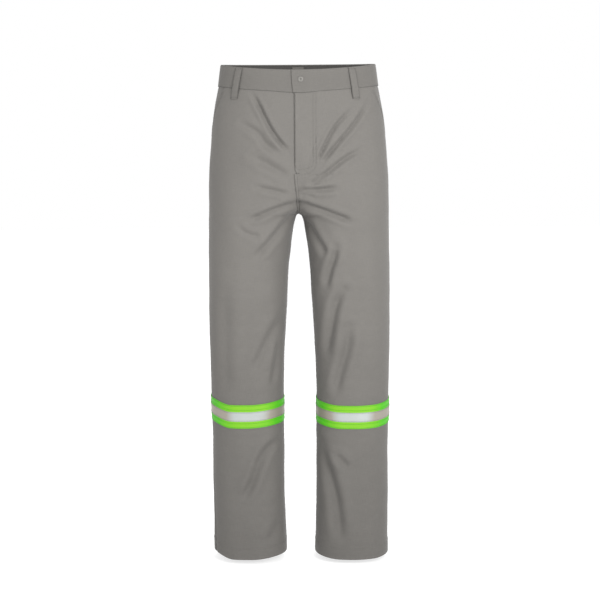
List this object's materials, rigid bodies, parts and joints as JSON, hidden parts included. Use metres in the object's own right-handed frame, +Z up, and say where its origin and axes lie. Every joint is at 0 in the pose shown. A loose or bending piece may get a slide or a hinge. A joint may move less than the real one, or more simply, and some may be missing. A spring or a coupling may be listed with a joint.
{
  "type": "work trousers with hi-vis leg bands",
  "caption": "Straight-leg woven work trousers with belt loops, slanted pockets, zip fly with snap, and a lime and silver band round each lower leg.",
  "frame": {"origin": "centre of the waist opening, level with the waistband's top edge at the sides", "axes": "+Z up through the waist, +Y towards the back, +X towards the wearer's left"},
  "size_m": [0.385, 0.2454, 1.045],
  "materials": {
    "cloth": "matte",
    "lining": "matte",
    "pocketing": "matte",
    "lime_tape": "matte",
    "silver_tape": "matte",
    "zip_cloth": "matte",
    "zip_metal": "satin",
    "snap_paint": "satin",
    "label": "matte"
  },
  "bodies": {
    "seat": {"front_hip_right": "cloth", "back_hip_right": "cloth", "waistband_right": "cloth", "belt_loop_front_right": "cloth", "belt_loop_side_right": "cloth", "pocket_facing_right": "cloth", "rear_pocket_right": "cloth", "waistband_facing_right": "lining", "pocket_bag_front_right": "pocketing", "pocket_bag_back_right": "pocketing", "zip_tape_right": "zip_cloth", "zip_teeth_right": "zip_metal", "zip_top_stop_right": "zip_metal", "front_hip_left": "cloth", "back_hip_left": "cloth", "waistband_left": "cloth", "belt_loop_front_left": "cloth", "belt_loop_side_left": "cloth", "pocket_facing_left": "cloth", "rear_pocket_left": "cloth", "waistband_facing_left": "lining", "pocket_bag_front_left": "pocketing", "pocket_bag_back_left": "pocketing", "belt_loop_back": "cloth", "fly_shield": "cloth", "zip_bottom_stop": "zip_metal", "snap_stud": "zip_metal", "snap_washer": "zip_metal", "size_label": "label"},
    "fly_flap": {"fly_flap": "cloth", "waistband_tab": "cloth", "fly_facing": "lining", "snap_cap": "snap_paint", "snap_socket": "zip_metal", "zip_tape_left": "zip_cloth", "zip_teeth_left": "zip_metal", "zip_top_stop_left": "zip_metal"},
    "zip_slider": {"zip_slider": "zip_metal"},
    "zip_pull": {"zip_pull": "zip_metal"},
    "right_thigh": {"thigh_front_right": "cloth", "thigh_back_right": "cloth"},
    "right_shin": {"shin_front_right": "cloth", "shin_back_right": "cloth", "band_tape_right": "lime_tape", "reflective_strip_right": "silver_tape", "hem_facing_right": "cloth"},
    "left_thigh": {"thigh_front_left": "cloth", "thigh_back_left": "cloth"},
    "left_shin": {"shin_front_left": "cloth", "shin_back_left": "cloth", "band_tape_left": "lime_tape", "reflective_strip_left": "silver_tape", "hem_facing_left": "cloth"}
  },
  "joints": [
    {"name": "right_hip_swing", "type": "hinge", "parent": "seat", "child": "right_thigh", "pos_m": [-0.105, 0.0014, -0.434], "axis": [-1, 0, 0], "range_deg": [-15, 35]},
    {"name": "right_knee_fold", "type": "hinge", "parent": "right_thigh", "child": "right_shin", "pos_m": [-0.105, -0.0011, -0.59], "axis": [1, 0, 0], "range_deg": [0, 60]},
    {"name": "left_hip_swing", "type": "hinge", "parent": "seat", "child": "left_thigh", "pos_m": [0.105, 0.0014, -0.434], "axis": [-1, 0, 0], "range_deg": [-15, 35]},
    {"name": "left_knee_fold", "type": "hinge", "parent": "left_thigh", "child": "left_shin", "pos_m": [0.105, -0.0011, -0.59], "axis": [1, 0, 0], "range_deg": [0, 60]},
    {"name": "fly_open", "type": "hinge", "parent": "seat", "child": "fly_flap", "pos_m": [0.008, -0.1188, -0.213], "axis": [0.2538, 0.0603, 0.9654], "range_deg": [0, 110], "deforming": ["zip_tape_left", "zip_teeth_left"]},
    {"name": "zip_slide", "type": "slide", "parent": "seat", "child": "zip_slider", "axis": [0, -0.0394, -0.9992], "range_m": [0, 0.134]},
    {"name": "zip_pull_lift", "type": "hinge", "parent": "zip_slider", "child": "zip_pull", "pos_m": [0, -0.1081, -0.06505], "axis": [-1, 0, 0], "range_deg": [0, 80]}
  ],
  "couplings": [
    {"joint": "zip_slide", "follows": "fly_open", "m_per_rad": 0.0697},
    {"joint": "zip_pull_lift", "follows": "fly_open", "ratio": 0.72}
  ]
}
